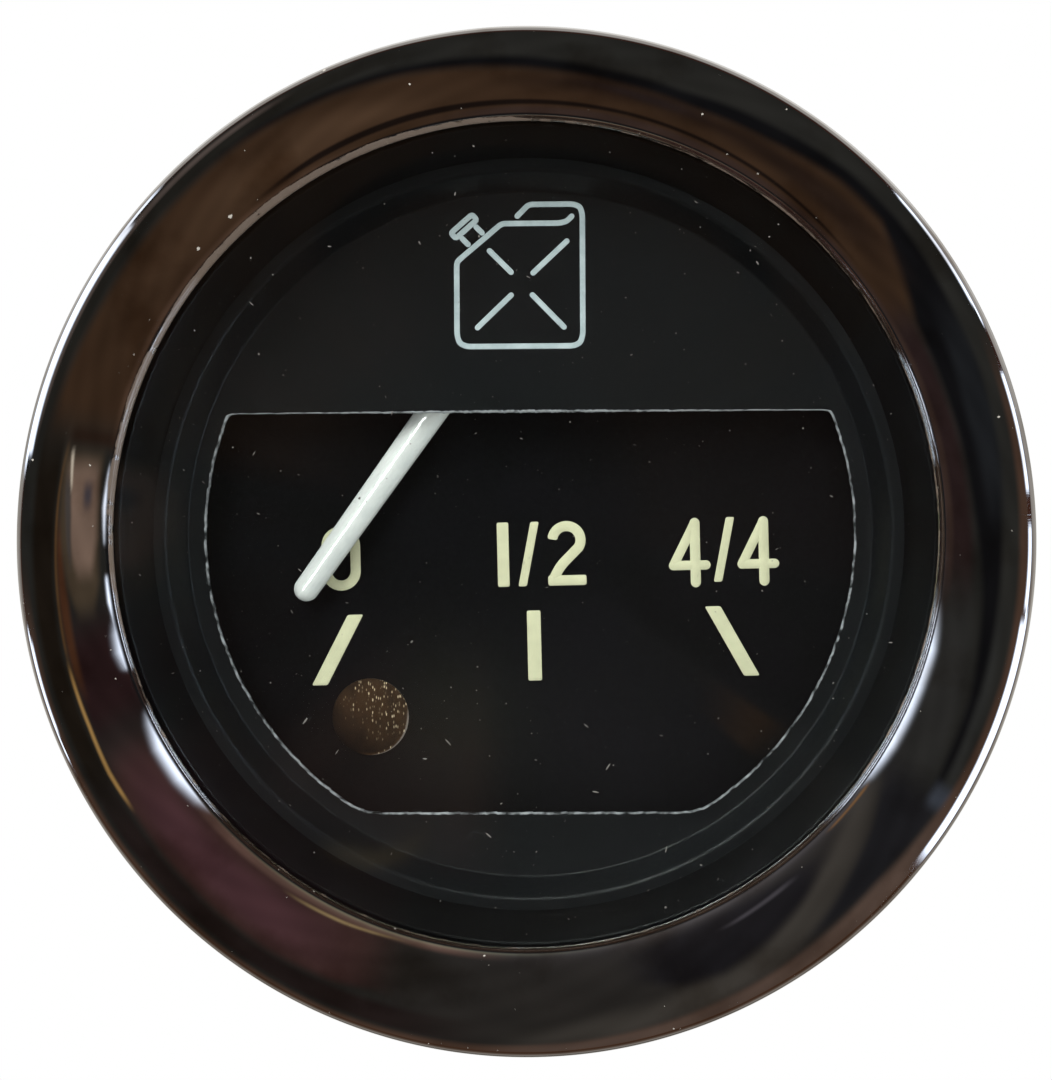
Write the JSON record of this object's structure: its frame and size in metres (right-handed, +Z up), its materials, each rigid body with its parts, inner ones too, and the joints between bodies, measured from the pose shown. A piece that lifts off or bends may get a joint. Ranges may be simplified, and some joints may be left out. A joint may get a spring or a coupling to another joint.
{
  "type": "fuel gauge",
  "caption": "Round panel fuel gauge with a chrome ring, flat glass, masked half dial, hanging needle, clamp bracket and push-in lamps.",
  "frame": {"origin": "on the can's axis, in the plane where the gasket's back meets the panel", "axes": "+Y from the dial back through the can, +Z up on the dial, +X to the right as the dial is read"},
  "size_m": [0.0604, 0.067, 0.0604],
  "materials": {
    "chrome": "polished",
    "cover_glass": "clear",
    "black_rubber": "matt",
    "spacer_black": "semi-gloss",
    "mask_black": "satin",
    "symbol_ink": "printed ink",
    "ring_black": "matt",
    "dial_black": "matt",
    "dial_ink": "printed ink",
    "amber_lens": "speckled, translucent",
    "white_plastic": "moulded",
    "dark_steel": "blackened",
    "can_zinc": "yellow zinc plate",
    "frame_zinc": "yellow zinc plate",
    "bright_zinc": "bright zinc plate",
    "brass": "turned",
    "soft_iron": "annealed",
    "bobbin_plastic": "moulded",
    "enamelled_wire": "varnished",
    "lead_sleeve": "flexible sleeve",
    "board_brown": "pressed board",
    "blade_brass": "rolled",
    "spindle_steel": "ground",
    "hub_black": "moulded",
    "needle_white": "moulded",
    "clamp_zinc": "bright zinc plate",
    "holder_plastic": "moulded",
    "cap_steel": "nickel plate",
    "bulb_glass": "clear"
  },
  "bodies": {
    "gauge": {"bezel": "chrome", "glass": "cover_glass", "glass_seal": "black_rubber", "spacer_ring": "spacer_black", "mask": "mask_black", "fuel_symbol": "symbol_ink", "distance_ring": "ring_black", "dial_plate": "dial_black", "scale_marks": "dial_ink", "reserve_lens": "amber_lens", "light_tube": "white_plastic", "dial_screws": "dark_steel", "stop_pins": "dark_steel", "housing": "can_zinc", "panel_gasket": "black_rubber", "frame_plate": "frame_zinc", "dial_pillars": "brass", "frame_nuts": "bright_zinc", "stud_spacers": "bright_zinc", "mounting_studs": "bright_zinc", "front_bridge": "frame_zinc", "bridge_posts": "brass", "bridge_screws": "bright_zinc", "front_bush": "brass", "rear_bush": "brass", "left_core": "soft_iron", "right_core": "soft_iron", "left_bobbin": "bobbin_plastic", "right_bobbin": "bobbin_plastic", "left_winding": "enamelled_wire", "right_winding": "enamelled_wire", "yoke": "soft_iron", "yoke_screws": "bright_zinc", "coil_leads": "lead_sleeve", "terminal_board": "board_brown", "terminal_insulator": "board_brown", "terminal_tabs": "blade_brass", "terminal_rivets": "bright_zinc"},
    "moving_system": {"spindle": "spindle_steel", "needle_hub": "hub_black", "needle": "needle_white", "armature": "soft_iron", "balance_arm": "spindle_steel", "balance_weight": "brass"},
    "clamp": {"clamp_bracket": "clamp_zinc", "lock_washers": "bright_zinc"},
    "left_nut": {"left_thumb_nut": "bright_zinc"},
    "right_nut": {"right_thumb_nut": "bright_zinc"},
    "dial_lamp": {"dial_lamp_holder": "holder_plastic", "dial_lamp_cap": "cap_steel", "dial_lamp_bulb": "bulb_glass", "dial_lamp_contacts": "blade_brass"},
    "reserve_lamp": {"reserve_lamp_holder": "holder_plastic", "reserve_lamp_cap": "cap_steel", "reserve_lamp_bulb": "bulb_glass", "reserve_lamp_contacts": "blade_brass"}
  },
  "joints": [
    {"name": "needle_swing", "type": "hinge", "parent": "gauge", "child": "moving_system", "pos_m": [0, 0.0028, 0.0158], "axis": [0, -1, 0], "range_deg": [0, 71.6]},
    {"name": "clamp_slide", "type": "slide", "parent": "gauge", "child": "clamp", "axis": [0, 1, 0], "range_m": [-0.004, 0.01]},
    {"name": "left_nut_turn", "type": "hinge", "parent": "clamp", "child": "left_nut", "pos_m": [-0.017, 0.0483, 0.003], "axis": [0, 1, 0], "range_deg": [-1801, 4501]},
    {"name": "right_nut_turn", "type": "hinge", "parent": "clamp", "child": "right_nut", "pos_m": [0.017, 0.0483, 0.003], "axis": [0, 1, 0], "range_deg": [-1801, 4501]},
    {"name": "dial_lamp_pull", "type": "slide", "parent": "gauge", "child": "dial_lamp", "axis": [0, 1, 0], "range_m": [0, 0.018]},
    {"name": "reserve_lamp_pull", "type": "slide", "parent": "gauge", "child": "reserve_lamp", "axis": [0, 1, 0], "range_m": [0, 0.018]}
  ],
  "couplings": [
    {"joint": "left_nut_turn", "follows": "clamp_slide", "rad_per_m": 7854},
    {"joint": "right_nut_turn", "follows": "clamp_slide", "rad_per_m": 7854}
  ]
}
